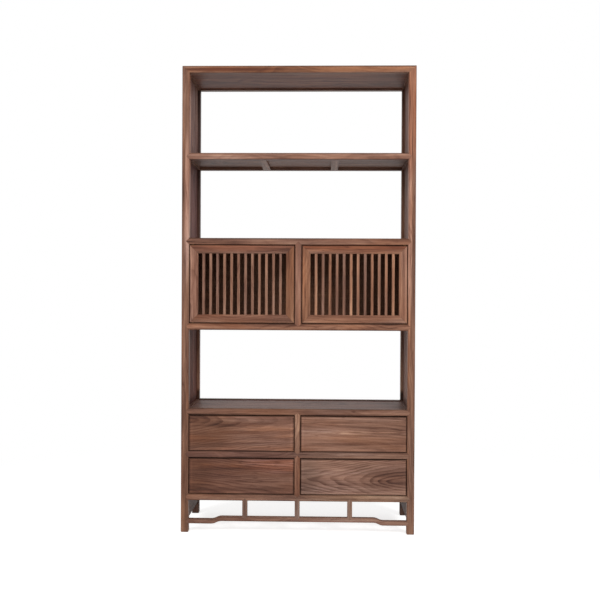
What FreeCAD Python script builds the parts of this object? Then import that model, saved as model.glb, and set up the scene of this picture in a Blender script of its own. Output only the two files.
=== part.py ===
import FreeCAD, Part
import os
import Sketcher

# A tall open book cabinet: four posts, seven levels of rails, a pair of slatted doors,
# four drawers and an open base with a humped stretcher.
# Millimetres. The origin is the middle of the footprint on the floor,
# X runs along the width, -Y is the front and +Z is up.

doc = FreeCAD.newDocument("book_cabinet")
sheet = doc.addObject("Spreadsheet::Sheet", "sizes")
rows = []


# A length that carries its number and the sum of named sizes that it comes from
class Size:
    def __init__(self, text, number):
        self.text = text
        self.number = number

    def __add__(self, other):
        return combine(self, "+", other)

    def __radd__(self, other):
        return combine(other, "+", self)

    def __sub__(self, other):
        return combine(self, "-", other)

    def __rsub__(self, other):
        return combine(other, "-", self)

    def __mul__(self, other):
        return combine(self, "*", other)

    def __rmul__(self, other):
        return combine(other, "*", self)

    def __truediv__(self, other):
        return combine(self, "/", other)

    def __neg__(self):
        return combine(0, "-", self)


def as_size(amount):
    if isinstance(amount, Size):
        return amount
    return Size("%s" % amount, float(amount))


def combine(left, sign, right):
    left = as_size(left)
    right = as_size(right)
    if sign == "+":
        number = left.number + right.number
    elif sign == "-":
        number = left.number - right.number
    elif sign == "*":
        number = left.number * right.number
    else:
        number = left.number / right.number
    return Size("(%s %s %s)" % (left.text, sign, right.text), number)


# One row of the sheet: its name in column A and its plain number in column B
def size(alias, number):
    rows.append(alias)
    cell = "B%d" % len(rows)
    sheet.set("A%d" % len(rows), alias)
    sheet.set(cell, "%s" % number)
    sheet.setAlias(cell, alias)
    return Size("sizes.%s" % alias, float(number))


# Driving sizes of the whole cabinet
overall_wide = size("overall_wide", 1000)
overall_deep = size("overall_deep", 350)
overall_high = size("overall_high", 2000)
post_side = size("post_side", 32)
rail_high = size("rail_high", 28)
top_rail_high = size("top_rail_high", 30)
edge_round = size("edge_round", 2.5)
foot_chamfer = size("foot_chamfer", 2)

# Clear heights between the levels, from the floor up
base_clear = size("base_clear", 138)
drawer_clear = size("drawer_clear", 156)
low_bay_clear = size("low_bay_clear", 336)
case_clear = size("case_clear", 338)
middle_bay_clear = size("middle_bay_clear", 336)

# Pointed shoulders and tenons
tip_thick = size("tip_thick", 6)
tenon_set = size("tenon_set", 9)
tenon_thick = size("tenon_thick", 9)
tenon_shoulder = size("tenon_shoulder", 6)
tenon_miss = size("tenon_miss", 1)

# Shelf panels and the battens under them
panel_thick = size("panel_thick", 12)
panel_drop = size("panel_drop", 4)
top_panel_rise = size("top_panel_rise", 7)
bottom_panel_thick = size("bottom_panel_thick", 8)
bottom_panel_rise = size("bottom_panel_rise", 2)
tongue_thick = size("tongue_thick", 5)
tongue_long = size("tongue_long", 7)
batten_wide = size("batten_wide", 33)
ridge_wide = size("ridge_wide", 16)
ridge_high = size("ridge_high", 3)
ridge_flare = size("ridge_flare", 2)

# Side and back panels
side_panel_thick = size("side_panel_thick", 7)
side_panel_set = size("side_panel_set", 12)
back_panel_thick = size("back_panel_thick", 6)
back_panel_set = size("back_panel_set", 10)
groove_deep = size("groove_deep", 5)

# Base: humped stretcher, its struts and the side aprons
stretcher_high = size("stretcher_high", 19)
stretcher_deep = size("stretcher_deep", 24)
stretcher_low = size("stretcher_low", 37.5)
hump_rise = size("hump_rise", 11.5)
hump_end = size("hump_end", 324)
hump_run = size("hump_run", 46)
strut_wide = size("strut_wide", 21)
strut_pitch = size("strut_pitch", 225)
apron_thick = size("apron_thick", 15)
apron_set = size("apron_set", 13)
apron_low = size("apron_low", 56)
apron_drop = size("apron_drop", 10)
apron_toe = size("apron_toe", 8)

# Doors
door_divider_wide = size("door_divider_wide", 28)
door_gap = size("door_gap", 3)
door_thick = size("door_thick", 20)
door_member = size("door_member", 35)
bar_wide = size("bar_wide", 11.4)
bar_deep = size("bar_deep", 12)
bar_set = size("bar_set", 3)
bar_tenon = size("bar_tenon", 5)
bar_round = size("bar_round", 1.5)
pivot_radius = size("pivot_radius", 3)
pivot_play = size("pivot_play", 0.05)
pivot_in = size("pivot_in", 12)
pivot_back = size("pivot_back", 8)
pivot_in_door = size("pivot_in_door", 14)
pivot_in_bush = size("pivot_in_bush", 8)
bush_radius = size("bush_radius", 4.5)
bush_long = size("bush_long", 10)
bush_flange_radius = size("bush_flange_radius", 6.5)
seat_play = size("seat_play", 0.3)
strike_wide = size("strike_wide", 30)
strike_thick = size("strike_thick", 1.5)
strike_high = size("strike_high", 12)
catch_wide = size("catch_wide", 36)
catch_high = size("catch_high", 12)
catch_inset = size("catch_inset", 20)
catch_round = size("catch_round", 1)

# Drawers and what carries them
drawer_divider_wide = size("drawer_divider_wide", 25)
drawer_side_gap = size("drawer_side_gap", 2.5)
drawer_top_gap = size("drawer_top_gap", 4)
drawer_bottom_gap = size("drawer_bottom_gap", 2)
drawer_front_thick = size("drawer_front_thick", 20)
drawer_wall = size("drawer_wall", 12)
drawer_box_high = size("drawer_box_high", 120)
drawer_back_high = size("drawer_back_high", 110)
drawer_back_space = size("drawer_back_space", 10)
drawer_bottom_thick = size("drawer_bottom_thick", 6)
drawer_bottom_rise = size("drawer_bottom_rise", 8)
tail_long = size("tail_long", 12)
tail_narrow = size("tail_narrow", 16)
tail_broad = size("tail_broad", 24)
ledge_wide = size("ledge_wide", 18)
ledge_thick = size("ledge_thick", 14)
guide_high = size("guide_high", 20)
guide_play = size("guide_play", 1)
stop_wide = size("stop_wide", 30)
stop_high = size("stop_high", 6)
stop_inset = size("stop_inset", 60)

# Counts and shares chosen by hand
bar_count = 12
tail_count = 3
batten_share = 1 / 6
batten_inset_share = 1 / 4
tail_middle_share = 1 / 2

# Places that follow from the sizes above
clear_wide = overall_wide - 2 * post_side
clear_deep = overall_deep - 2 * post_side
front = -overall_deep / 2
back = overall_deep / 2
left = -overall_wide / 2
inner_front = front + post_side
inner_left = left + post_side
tenon_long = post_side - tenon_set - tenon_thick - tenon_miss
level_bottom = base_clear
level_drawer_middle = level_bottom + rail_high + drawer_clear
level_drawer_top = level_drawer_middle + rail_high + drawer_clear
level_case_bottom = level_drawer_top + rail_high + low_bay_clear
level_case_top = level_case_bottom + rail_high + case_clear
level_upper_shelf = level_case_top + rail_high + middle_bay_clear
level_top = overall_high - top_rail_high

UP = FreeCAD.Vector(0, 0, 1)
BACKWARD = FreeCAD.Vector(0, 1, 0)
NO_TURN = FreeCAD.Rotation()
SMALL = 1e-4
nodes = []


# Binding of a property to an expression, or to a plain zero
def bind(item, prop, amount):
    amount = as_size(amount)
    item.setExpression(prop, amount.text)


def place(item, x, y, z, turn=NO_TURN):
    x, y, z = as_size(x), as_size(y), as_size(z)
    item.Placement = FreeCAD.Placement(FreeCAD.Vector(x.number, y.number, z.number), turn)
    bind(item, "Placement.Base.x", x)
    bind(item, "Placement.Base.y", y)
    bind(item, "Placement.Base.z", z)


def new_body(label):
    body = doc.addObject("PartDesign::Body", label)
    body.Label = label
    return body


def plane_of(body, role):
    for item in body.Origin.OriginFeatures:
        if item.Role == role:
            return item
    raise ValueError("no plane " + role)


# A box feature of a body, from its low corner
def block(body, name, corner, extent):
    box = body.newObject("PartDesign::AdditiveBox", name)
    for prop, amount in zip(("Length", "Width", "Height"), extent):
        bind(box, prop, amount)
    place(box, *corner)
    return box


# A closed outline: each step is (x, y) for a straight run to that point,
# or (x, y, centre_x, way) for an arc to it, whose centre has that x and
# which runs anticlockwise where way is 1 and clockwise where it is -1
def outline(body, name, role, loops):
    sketch = body.newObject("Sketcher::SketchObject", name)
    sketch.AttachmentSupport = (plane_of(body, role), [""])
    sketch.MapMode = "FlatFace"
    for loop in loops:
        draw_loop(sketch, loop)
    return sketch


def draw_loop(sketch, loop):
    first = sketch.GeometryCount
    spots = [(as_size(step[0]), as_size(step[1])) for step in loop]
    for index, step in enumerate(loop):
        start = spots[index - 1]
        end = spots[index]
        if len(step) == 2:
            sketch.addGeometry(straight(start, end), False)
        else:
            sketch.addGeometry(curve(start, end, as_size(step[2])), False)
    count = len(loop)
    for index, step in enumerate(loop):
        here = first + index
        after = first + (index + 1) % count
        end_point = end_of(step)
        start_point = start_of(loop[(index + 1) % count])
        sketch.addConstraint(Sketcher.Constraint("Coincident", here, end_point, after, start_point))
        fix_point(sketch, here, end_point, spots[index])
        if len(step) > 2:
            fix_across(sketch, here, 3, as_size(step[2]))


# Which end of a piece of the outline is its start: an arc that turns clockwise
# is stored the other way round
def start_of(step):
    return 2 if len(step) > 2 and step[3] < 0 else 1


def end_of(step):
    return 1 if len(step) > 2 and step[3] < 0 else 2


def straight(start, end):
    return Part.LineSegment(flat_point(start), flat_point(end))


def flat_point(spot):
    return FreeCAD.Vector(spot[0].number, spot[1].number, 0)


def curve(start, end, centre_x):
    a = flat_point(start)
    b = flat_point(end)
    middle_x = centre_x.number
    numerator = (b.x - middle_x) ** 2 + b.y ** 2 - (a.x - middle_x) ** 2 - a.y ** 2
    centre = FreeCAD.Vector(middle_x, numerator / (2 * (b.y - a.y)), 0)
    radius = centre.distanceToPoint(a)
    chord_middle = (a + b) / 2
    outward = chord_middle - centre
    outward.normalize()
    return Part.Arc(a, centre + outward * radius, b)


def fix_across(sketch, piece, point, x):
    if x.text == "0":
        sketch.addConstraint(Sketcher.Constraint("PointOnObject", piece, point, -2))
    else:
        index = sketch.addConstraint(Sketcher.Constraint("DistanceX", -1, 1, piece, point, x.number))
        sketch.setExpression("Constraints[%d]" % index, x.text)


def fix_up(sketch, piece, point, y):
    if y.text == "0":
        sketch.addConstraint(Sketcher.Constraint("PointOnObject", piece, point, -1))
    else:
        index = sketch.addConstraint(Sketcher.Constraint("DistanceY", -1, 1, piece, point, y.number))
        sketch.setExpression("Constraints[%d]" % index, y.text)


def fix_point(sketch, piece, point, spot):
    fix_across(sketch, piece, point, spot[0])
    fix_up(sketch, piece, point, spot[1])


# A pad of an outline; on the XZ plane it grows towards the back when reversed
def pad(body, name, sketch, thick, reverse):
    feature = body.newObject("PartDesign::Pad", name)
    feature.Profile = sketch
    bind(feature, "Length", thick)
    feature.Reversed = reverse
    return feature


def pocket_through(body, name, sketch):
    feature = body.newObject("PartDesign::Pocket", name)
    feature.Profile = sketch
    feature.Type = "ThroughAll"
    feature.Midplane = True
    return feature


# Names of the edges of a feature that run along a direction and pass a test
# on their middle point
def edges_along(feature, direction, passes):
    doc.recompute()
    names = []
    for number, edge in enumerate(feature.Shape.Edges, start=1):
        ends = [vertex.Point for vertex in edge.Vertexes]
        if len(ends) < 2:
            continue
        run = ends[1] - ends[0]
        if run.Length < SMALL or run.cross(direction).Length > SMALL * run.Length:
            continue
        if passes((ends[0] + ends[1]) / 2):
            names.append("Edge%d" % number)
    return names


def round_edges(body, name, feature, edges, radius):
    fillet = body.newObject("PartDesign::Fillet", name)
    fillet.Base = (feature, edges)
    bind(fillet, "Radius", radius)
    return fillet


def near(value, amount):
    return abs(value - as_size(amount).number) < SMALL


# A blank that others are let into: what enters it is cut out of it
def let_in(label, blank, guests):
    if len(guests) == 1:
        tool = guests[0]
    else:
        tool = doc.addObject("Part::MultiFuse", label + "_guests")
        tool.Shapes = guests
    cut = doc.addObject("Part::Cut", label)
    cut.Base = blank
    cut.Tool = tool
    cut.Refine = True
    cut.Label = label
    return cut


def group(label, items):
    compound = doc.addObject("Part::Compound", label)
    compound.Links = items
    compound.Label = label
    return compound


def keep(item):
    nodes.append(item)
    return item


# A straight member between two others: its visible face is at y 0, its length
# lies along x, and both ends have a pointed shoulder on that face and a tenon
def member(label, clear, wide, deep):
    body = new_body(label)
    half = clear / 2
    point = half + wide / 2
    shape = [(-half, wide / 2), (half, wide / 2), (point, 0), (half, -wide / 2), (-half, -wide / 2), (-point, 0)]
    sketch = outline(body, label + "_face", "XZ_Plane", [shape])
    pad(body, label + "_skin", sketch, tip_thick, True)
    core = block(body, label + "_core", (-half, tip_thick, -wide / 2), (clear, deep - tip_thick, wide))
    edges = edges_along(core, FreeCAD.Vector(1, 0, 0), lambda spot: near(spot.y, 0))
    round_edges(body, label + "_rounds", core, edges, edge_round)
    tenon_wide = wide - 2 * tenon_shoulder
    block(body, label + "_tenons", (-half - tenon_long, tenon_set, -tenon_wide / 2),
          (clear + 2 * tenon_long, tenon_thick, tenon_wide))
    return body


# Turns that bring a member's face to the front, the back or a side
QUARTER_SHARE = 0.25


def turned(quarters):
    return FreeCAD.Rotation(UP, 360 * QUARTER_SHARE * quarters)


# Upright pieces: the length points up and the face stays at the front
STANDING = FreeCAD.Rotation(BACKWARD, -90)
LYING_UPSIDE_DOWN = FreeCAD.Rotation(BACKWARD, 180)
STANDING_LEFT = FreeCAD.Rotation(BACKWARD, 90)


# Four rails of one level
def level_rails(level, name):
    middle = level + rail_high / 2
    front_rail = member(name + "_front_rail_blank", clear_wide, rail_high, post_side)
    place(front_rail, 0, front, middle)
    rear_rail = member(name + "_rear_rail_blank", clear_wide, rail_high, post_side)
    place(rear_rail, 0, back, middle, turned(2))
    left_rail = member(name + "_left_rail_blank", clear_deep, rail_high, post_side)
    place(left_rail, left, 0, middle, turned(-1))
    right_rail = member(name + "_right_rail_blank", clear_deep, rail_high, post_side)
    place(right_rail, -left, 0, middle, turned(1))
    return {"front": front_rail, "rear": rear_rail, "left": left_rail, "right": right_rail}


# Top rails are mitred to each other and to the posts
def top_rail(label, full):
    body = new_body(label)
    half = full / 2
    short = half - post_side
    shape = [(-half, top_rail_high), (half, top_rail_high), (short, 0), (-short, 0)]
    sketch = outline(body, label + "_face", "XZ_Plane", [shape])
    blank = pad(body, label + "_pad", sketch, post_side, True)
    edges = edges_along(blank, FreeCAD.Vector(1, 0, 0), lambda spot: near(spot.y, 0))
    round_edges(body, label + "_rounds", blank, edges, edge_round)
    mitres = [[(side * half, 0), (side * half, post_side), (side * short, post_side)] for side in (-1, 1)]
    pocket_through(body, label + "_mitres", outline(body, label + "_plan", "XY_Plane", mitres))
    return body


def top_rails():
    front_rail = top_rail("top_front_rail_blank", overall_wide)
    place(front_rail, 0, front, level_top)
    rear_rail = top_rail("top_rear_rail_blank", overall_wide)
    place(rear_rail, 0, back, level_top, turned(2))
    left_rail = top_rail("top_left_rail_blank", overall_deep)
    place(left_rail, left, 0, level_top, turned(-1))
    right_rail = top_rail("top_right_rail_blank", overall_deep)
    place(right_rail, -left, 0, level_top, turned(1))
    return {"front": front_rail, "rear": rear_rail, "left": left_rail, "right": right_rail}


# A post stands with its outer corner on its own origin
def post(label, x, y, quarters):
    body = new_body(label)
    shape = [(0, overall_high), (0, 0), (post_side, 0), (post_side, level_top)]
    sketch = outline(body, label + "_face", "XZ_Plane", [shape])
    blank = pad(body, label + "_pad", sketch, post_side, True)
    rounded = round_edges(body, label + "_rounds", blank, edges_along(blank, UP, lambda spot: True), edge_round)
    doc.recompute()
    feet = []
    for number, face in enumerate(rounded.Shape.Faces, start=1):
        if near(face.CenterOfMass.z, 0):
            feet.append("Face%d" % number)
    toe = body.newObject("PartDesign::Chamfer", label + "_foot")
    toe.Base = (rounded, feet)
    bind(toe, "Size", foot_chamfer)
    wedge = [[(0, overall_high), (post_side, overall_high), (post_side, level_top)]]
    pocket_through(body, label + "_mitre", outline(body, label + "_side", "YZ_Plane", wedge))
    place(body, x, y, 0, turned(quarters))
    return body


# A shelf panel with a tongue all round
def panel(label, thick, low, wide, deep):
    body = new_body(label)
    block(body, label + "_board", (-wide / 2, -deep / 2, low), (wide, deep, thick))
    block(body, label + "_tongue", (-wide / 2 - tongue_long, -deep / 2 - tongue_long, low + (thick - tongue_thick) / 2),
          (wide + 2 * tongue_long, deep + 2 * tongue_long, tongue_thick))
    return body


# A batten whose ridge slides in a dovetail groove across the panel
def batten(label, x, z, high, turn):
    body = new_body(label)
    neck = ridge_wide / 2
    crown = neck + ridge_flare
    half = batten_wide / 2
    shape = [(-half, 0), (half, 0), (half, high), (neck, high), (crown, high + ridge_high),
             (-crown, high + ridge_high), (-neck, high), (-half, high)]
    sketch = outline(body, label + "_section", "XZ_Plane", [shape])
    feature = pad(body, label + "_pad", sketch, clear_deep, True)
    feature.Midplane = True
    inset = high * batten_inset_share
    block(body, label + "_tenons", (-neck, -clear_deep / 2 - tongue_long, inset),
          (ridge_wide, clear_deep + 2 * tongue_long, high - 2 * inset))
    place(body, x, 0, z, turn)
    return body


def flat_board(label, corner, extent):
    body = new_body(label)
    block(body, label + "_board", corner, extent)
    return body


# Side panels of every bay, let into posts and rails
def side_panels(side, name):
    outer = left + post_side - side_panel_set - side_panel_thick
    x = outer if side < 0 else -outer - side_panel_thick
    found = []
    for index, (low, high) in enumerate(bay_heights):
        label = "%s_side_panel_%d" % (name, index + 1)
        found.append(flat_board(label, (x, inner_front - groove_deep, low - groove_deep),
                                (side_panel_thick, clear_deep + 2 * groove_deep, high - low + 2 * groove_deep)))
    return found


def back_panel(label, low, high):
    return flat_board(label, (inner_left - groove_deep, back - back_panel_set - back_panel_thick, low - groove_deep),
                      (clear_wide + 2 * groove_deep, back_panel_thick, high - low + 2 * groove_deep))


# The humped stretcher: a lower run at each end and a raised run between them
def hump_line(half, low):
    foot = hump_end + hump_run
    bend = hump_end + hump_run / 2
    high = low + hump_rise
    middle = low + hump_rise / 2
    return [(-foot, low), (-bend, middle, -foot, 1), (-hump_end, high, -hump_end, -1),
            (hump_end, high), (bend, middle, hump_end, -1), (foot, low, foot, 1), (half, low)]


def stretcher_outline(with_tips):
    half = clear_wide / 2
    tip = half + stretcher_high / 2
    over = hump_line(half, stretcher_low + stretcher_high)
    under = hump_line(half, stretcher_low)
    loop = [(-half, stretcher_low + stretcher_high)] + over
    if with_tips:
        loop.append((tip, stretcher_low + stretcher_high / 2))
    loop.append((half, stretcher_low))
    loop.extend(reversed_line(under, -half, stretcher_low))
    if with_tips:
        loop.append((-tip, stretcher_low + stretcher_high / 2))
    return [loop]


# The same line walked from right to left
def reversed_line(line, end_x, end_y):
    spots = [(step[0], step[1]) for step in line]
    walked = []
    for index in range(len(line) - 1, 0, -1):
        step = line[index]
        before = spots[index - 1]
        if len(step) == 2:
            walked.append(before)
        else:
            walked.append((before[0], before[1], step[2], -step[3]))
    walked.append((end_x, end_y))
    return walked


def stretcher_blank():
    body = new_body("stretcher")
    pad(body, "stretcher_skin", outline(body, "stretcher_face", "XZ_Plane", stretcher_outline(True)), tip_thick, True)
    core = pad(body, "stretcher_core", outline(body, "stretcher_section", "XZ_Plane", stretcher_outline(False)),
               stretcher_deep, True)
    doc.recompute()
    names = []
    limit = (clear_wide / 2).number + SMALL
    for number, edge in enumerate(core.Shape.Edges, start=1):
        box = edge.BoundBox
        if box.YMax < SMALL and box.XLength > SMALL and box.XMax < limit and box.XMin > -limit:
            names.append("Edge%d" % number)
    round_edges(body, "stretcher_rounds", core, names, edge_round)
    tenon_high = stretcher_high - 2 * tenon_shoulder
    for side, name in ((-1, "left"), (1, "right")):
        x = side * clear_wide / 2
        corner_x = x - tenon_long if side < 0 else x
        block(body, "stretcher_%s_tenon" % name, (corner_x, tenon_set, stretcher_low + tenon_shoulder),
              (tenon_long, tenon_thick, tenon_high))
    place(body, 0, front, 0)
    return body


# A side apron: a board under the side rail with a small toe beside each post
def apron(label, side):
    body = new_body(label)
    half = clear_deep / 2
    toe = half - apron_toe
    rise = toe - apron_drop
    shape = [(half, apron_low - apron_drop), (half, base_clear), (-half, base_clear), (-half, apron_low - apron_drop),
             (-toe, apron_low - apron_drop), (-rise, apron_low, -rise, -1), (rise, apron_low),
             (toe, apron_low - apron_drop, rise, -1)]
    sketch = outline(body, label + "_face", "YZ_Plane", [shape])
    pad(body, label + "_pad", sketch, apron_thick, False)
    block(body, label + "_tongues", (0, -half - groove_deep, apron_low), (apron_thick, clear_deep + 2 * groove_deep,
          base_clear - apron_low - apron_drop))
    x = left + apron_set if side < 0 else -left - apron_set - apron_thick
    place(body, x, 0, 0)
    return body


# One member of a door frame: outer edge at z 0, inner edge at z door_member
def mitred_member(label, long):
    body = new_body(label)
    half = long / 2
    inner = half - door_member
    sketch = outline(body, label + "_face", "XZ_Plane", [[(-half, 0), (half, 0), (inner, door_member), (-inner, door_member)]])
    blank = pad(body, label + "_pad", sketch, door_thick, True)
    edges = edges_along(blank, FreeCAD.Vector(1, 0, 0), lambda spot: near(spot.y, 0))
    round_edges(body, label + "_rounds", blank, edges, edge_round)
    return body


def door_bar(label, x, low, long):
    body = new_body(label)
    bar = block(body, label + "_stick", (x - bar_wide / 2, front + bar_set, low), (bar_wide, bar_deep, long))
    edges = edges_along(bar, UP, lambda spot: near(spot.y, front + bar_set))
    round_edges(body, label + "_rounds", bar, edges, bar_round)
    return body


def cylinder(label, radius, high, x, y, z):
    item = doc.addObject("Part::Cylinder", label)
    item.Label = label
    bind(item, "Radius", radius)
    bind(item, "Height", high)
    place(item, x, y, z)
    return item


# Door: mitred frame, upright bars, two pivot pins and a strike plate
def build_door(name, side):
    low = level_case_bottom + rail_high + door_gap
    high = level_case_top - door_gap
    door_high = high - low
    hinge_edge = clear_wide / 2 - door_gap
    meeting_edge = door_divider_wide / 2 + door_gap
    door_wide = hinge_edge - meeting_edge
    centre = side * (hinge_edge + meeting_edge) / 2
    pivot_x = side * (hinge_edge - pivot_in)
    pivot_y = front + pivot_back

    bottom = mitred_member(name + "_bottom_rail_blank", door_wide)
    place(bottom, centre, front, low)
    top = mitred_member(name + "_top_rail_blank", door_wide)
    place(top, centre, front, high, LYING_UPSIDE_DOWN)
    west = mitred_member(name + "_west_stile_blank", door_high)
    place(west, centre - door_wide / 2, front, (low + high) / 2, STANDING_LEFT)
    east = mitred_member(name + "_east_stile_blank", door_high)
    place(east, centre + door_wide / 2, front, (low + high) / 2, STANDING)

    opening = door_wide - 2 * door_member
    pitch = (opening + bar_wide) / (bar_count + 1)
    bars = []
    for index in range(bar_count):
        x = centre - opening / 2 - bar_wide / 2 + pitch * (index + 1)
        bars.append(door_bar("%s_bar_%d" % (name, index + 1), x, low + door_member - bar_tenon,
                             door_high - 2 * door_member + 2 * bar_tenon))

    pin_long = pivot_in_door + door_gap + pivot_in_bush
    lower_pin = cylinder(name + "_lower_pin", pivot_radius, pin_long, pivot_x, pivot_y,
                         low - door_gap - pivot_in_bush)
    upper_pin = cylinder(name + "_upper_pin", pivot_radius, pin_long, pivot_x, pivot_y, high - pivot_in_door)
    pins = [lower_pin, upper_pin]

    strike_x = side * (meeting_edge + catch_inset) - strike_wide / 2
    strike = flat_board(name + "_strike", (strike_x, front + door_thick, high - strike_high),
                        (strike_wide, strike_thick, strike_high))

    keep(group(name + "_stiles", [let_in(name + "_west_stile", west, pins), let_in(name + "_east_stile", east, pins)]))
    keep(group(name + "_rails", [let_in(name + "_bottom_rail", bottom, bars + pins),
                                 let_in(name + "_top_rail", top, bars + pins)]))
    keep(group(name + "_bars", bars))
    keep(group(name + "_pivot_pins", pins))
    keep(strike)
    return {"low": low, "high": high, "pivot_x": pivot_x, "pivot_y": pivot_y, "strike_x": strike_x}


# A brass bush: a sleeve let into the rail and a flange that carries the door
def bush(label, x, y, z, turn):
    sleeve = cylinder(label + "_sleeve", bush_radius, bush_long, x, y, z)
    flange = cylinder(label + "_flange", bush_flange_radius, door_gap - seat_play, x, y, z)
    bore = cylinder(label + "_bore", pivot_radius + pivot_play, bush_long + door_gap, x, y, z)
    if turn:
        place(sleeve, x, y, z)
        place(flange, x, y, z - door_gap + seat_play)
        place(bore, x, y, z - door_gap)
    else:
        place(sleeve, x, y, z - bush_long)
        place(flange, x, y, z)
        place(bore, x, y, z - bush_long)
    outside = doc.addObject("Part::Fuse", label + "_outside")
    outside.Base = sleeve
    outside.Tool = flange
    cut = doc.addObject("Part::Cut", label)
    cut.Base = outside
    cut.Tool = bore
    cut.Label = label
    return {"bush": cut, "sleeve": sleeve}


# Drawer: a front, two sides dovetailed into it, a back and a bottom
def build_drawer(name, side, level):
    outer_edge = clear_wide / 2 - drawer_side_gap
    inner_edge = drawer_divider_wide / 2 + drawer_side_gap
    wide = outer_edge - inner_edge
    centre = side * (outer_edge + inner_edge) / 2
    low = level + rail_high + drawer_bottom_gap
    front_high = drawer_clear - drawer_bottom_gap - drawer_top_gap
    half = wide / 2
    wall_start = front + drawer_front_thick
    wall_end = back - post_side - drawer_back_space

    body = new_body(name + "_front_blank")
    face = block(body, name + "_front_board", (centre - half, front, low), (wide, drawer_front_thick, front_high))
    edges = edges_along(face, UP, lambda spot: near(spot.y, front))
    edges += edges_along(face, FreeCAD.Vector(1, 0, 0), lambda spot: near(spot.y, front))
    round_edges(body, name + "_front_rounds", face, edges, edge_round)

    sides = []
    tail_pitch = drawer_box_high / tail_count
    for word, corner in (("left", centre - half), ("right", centre + half - drawer_wall)):
        wall = new_body("%s_%s_side_blank" % (name, word))
        block(wall, "%s_%s_board" % (name, word), (corner, wall_start, low),
              (drawer_wall, wall_end - wall_start, drawer_box_high))
        tails = []
        for index in range(tail_count):
            middle = low + tail_pitch * (index + tail_middle_share)
            tails.append([(wall_start, middle - tail_narrow / 2), (wall_start, middle + tail_narrow / 2),
                          (wall_start - tail_long, middle + tail_broad / 2),
                          (wall_start - tail_long, middle - tail_broad / 2)])
        sketch = outline(wall, "%s_%s_tails" % (name, word), "YZ_Plane", tails)
        bind(sketch, "AttachmentOffset.Base.z", corner)
        pad(wall, "%s_%s_tail_pad" % (name, word), sketch, drawer_wall, False)
        sides.append(wall)

    rear = flat_board(name + "_back_blank", (centre - half + drawer_wall, wall_end - drawer_wall, low),
                      (wide - 2 * drawer_wall, drawer_wall, drawer_back_high))
    bottom = flat_board(name + "_bottom",
                        (centre - half + drawer_wall - groove_deep, wall_start - groove_deep, low + drawer_bottom_rise),
                        (wide - 2 * drawer_wall + 2 * groove_deep,
                         wall_end - wall_start - drawer_wall + 2 * groove_deep, drawer_bottom_thick))
    keep(let_in(name + "_front", body, sides + [bottom]))
    keep(group(name + "_box", [let_in(name + "_left_side", sides[0], [bottom]),
                               let_in(name + "_right_side", sides[1], [bottom]),
                               let_in(name + "_back", rear, [bottom])]))
    keep(bottom)
    stops = []
    for end in (-1, 1):
        x = centre + end * (half - stop_inset) - stop_wide / 2
        stops.append(flat_board("%s_stop_%d" % (name, end + 2), (x, wall_start + seat_play, level + rail_high),
                                (stop_wide, post_side - drawer_front_thick - seat_play, stop_high)))
    return stops


# Runners: a ledge under the drawer side and a guide beside it
def side_runner(label, side, level):
    body = new_body(label)
    rail_top = level + rail_high
    ledge_top = rail_top + drawer_bottom_gap - seat_play
    wall = clear_wide / 2
    outside = side * (wall + side_panel_set)
    guide = side * (wall - drawer_side_gap + guide_play)
    ledge = side * (wall - ledge_wide)
    shape = [(outside, rail_top), (outside, rail_top + guide_high), (guide, rail_top + guide_high), (guide, ledge_top),
             (ledge, ledge_top), (ledge, ledge_top - ledge_thick), (side * wall, ledge_top - ledge_thick),
             (side * wall, rail_top)]
    feature = pad(body, label + "_pad", outline(body, label + "_section", "XZ_Plane", [shape]), clear_deep, False)
    feature.Midplane = True
    return body


def centre_runner(label, level):
    body = new_body(label)
    rail_top = level + rail_high
    ledge_top = rail_top + drawer_bottom_gap - seat_play
    guide = drawer_divider_wide / 2 + drawer_side_gap - guide_play
    ledge = drawer_divider_wide / 2 + ledge_wide
    shape = [(-ledge, ledge_top - ledge_thick), (-ledge, ledge_top), (-guide, ledge_top),
             (-guide, rail_top + guide_high), (guide, rail_top + guide_high), (guide, ledge_top),
             (ledge, ledge_top), (ledge, ledge_top - ledge_thick)]
    feature = pad(body, label + "_pad", outline(body, label + "_section", "XZ_Plane", [shape]), clear_deep, False)
    feature.Midplane = True
    return body


# Levels and the bays between them
levels = [("bottom", level_bottom), ("drawer_middle", level_drawer_middle), ("drawer_top", level_drawer_top),
          ("case_bottom", level_case_bottom), ("case_top", level_case_top), ("upper_shelf", level_upper_shelf)]
floors = [level + rail_high for name, level in levels]
ceilings = [level for name, level in levels[1:]] + [level_top]
bay_heights = list(zip(floors, ceilings))

rails = {name: level_rails(level, name) for name, level in levels}
rails["top"] = top_rails()
side_boards = {"left": side_panels(-1, "left"), "right": side_panels(1, "right")}

# Shelf panels with their battens
panels = {}
battens = {}
for name, level in levels:
    if name == "drawer_middle":
        continue
    if name == "bottom":
        panels[name] = panel(name + "_panel", bottom_panel_thick, bottom_panel_rise, clear_wide, clear_deep)
        battens[name] = []
    else:
        under = rail_high - panel_drop - panel_thick
        panels[name] = panel(name + "_panel_blank", panel_thick, under, clear_wide, clear_deep)
        battens[name] = [batten("%s_batten_%d" % (name, side + 2), side * batten_share * clear_wide, level, under, NO_TURN)
                         for side in (-1, 1)]
    place(panels[name], 0, 0, level)
panels["top"] = panel("top_panel_blank", panel_thick, top_panel_rise, clear_wide, clear_deep)
place(panels["top"], 0, 0, level_top)
battens["top"] = [batten("top_batten_%d" % (side + 2), side * batten_share * clear_wide, overall_high,
                         top_rail_high - top_panel_rise - panel_thick, LYING_UPSIDE_DOWN) for side in (-1, 1)]

# Back panels of the door case and of the two rows of drawers
case_back = back_panel("case_back_panel", floors[3], ceilings[3])
drawer_backs = [back_panel("drawer_back_panel_1", floors[0], ceilings[0]),
                back_panel("drawer_back_panel_2", floors[1], ceilings[1])]

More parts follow.
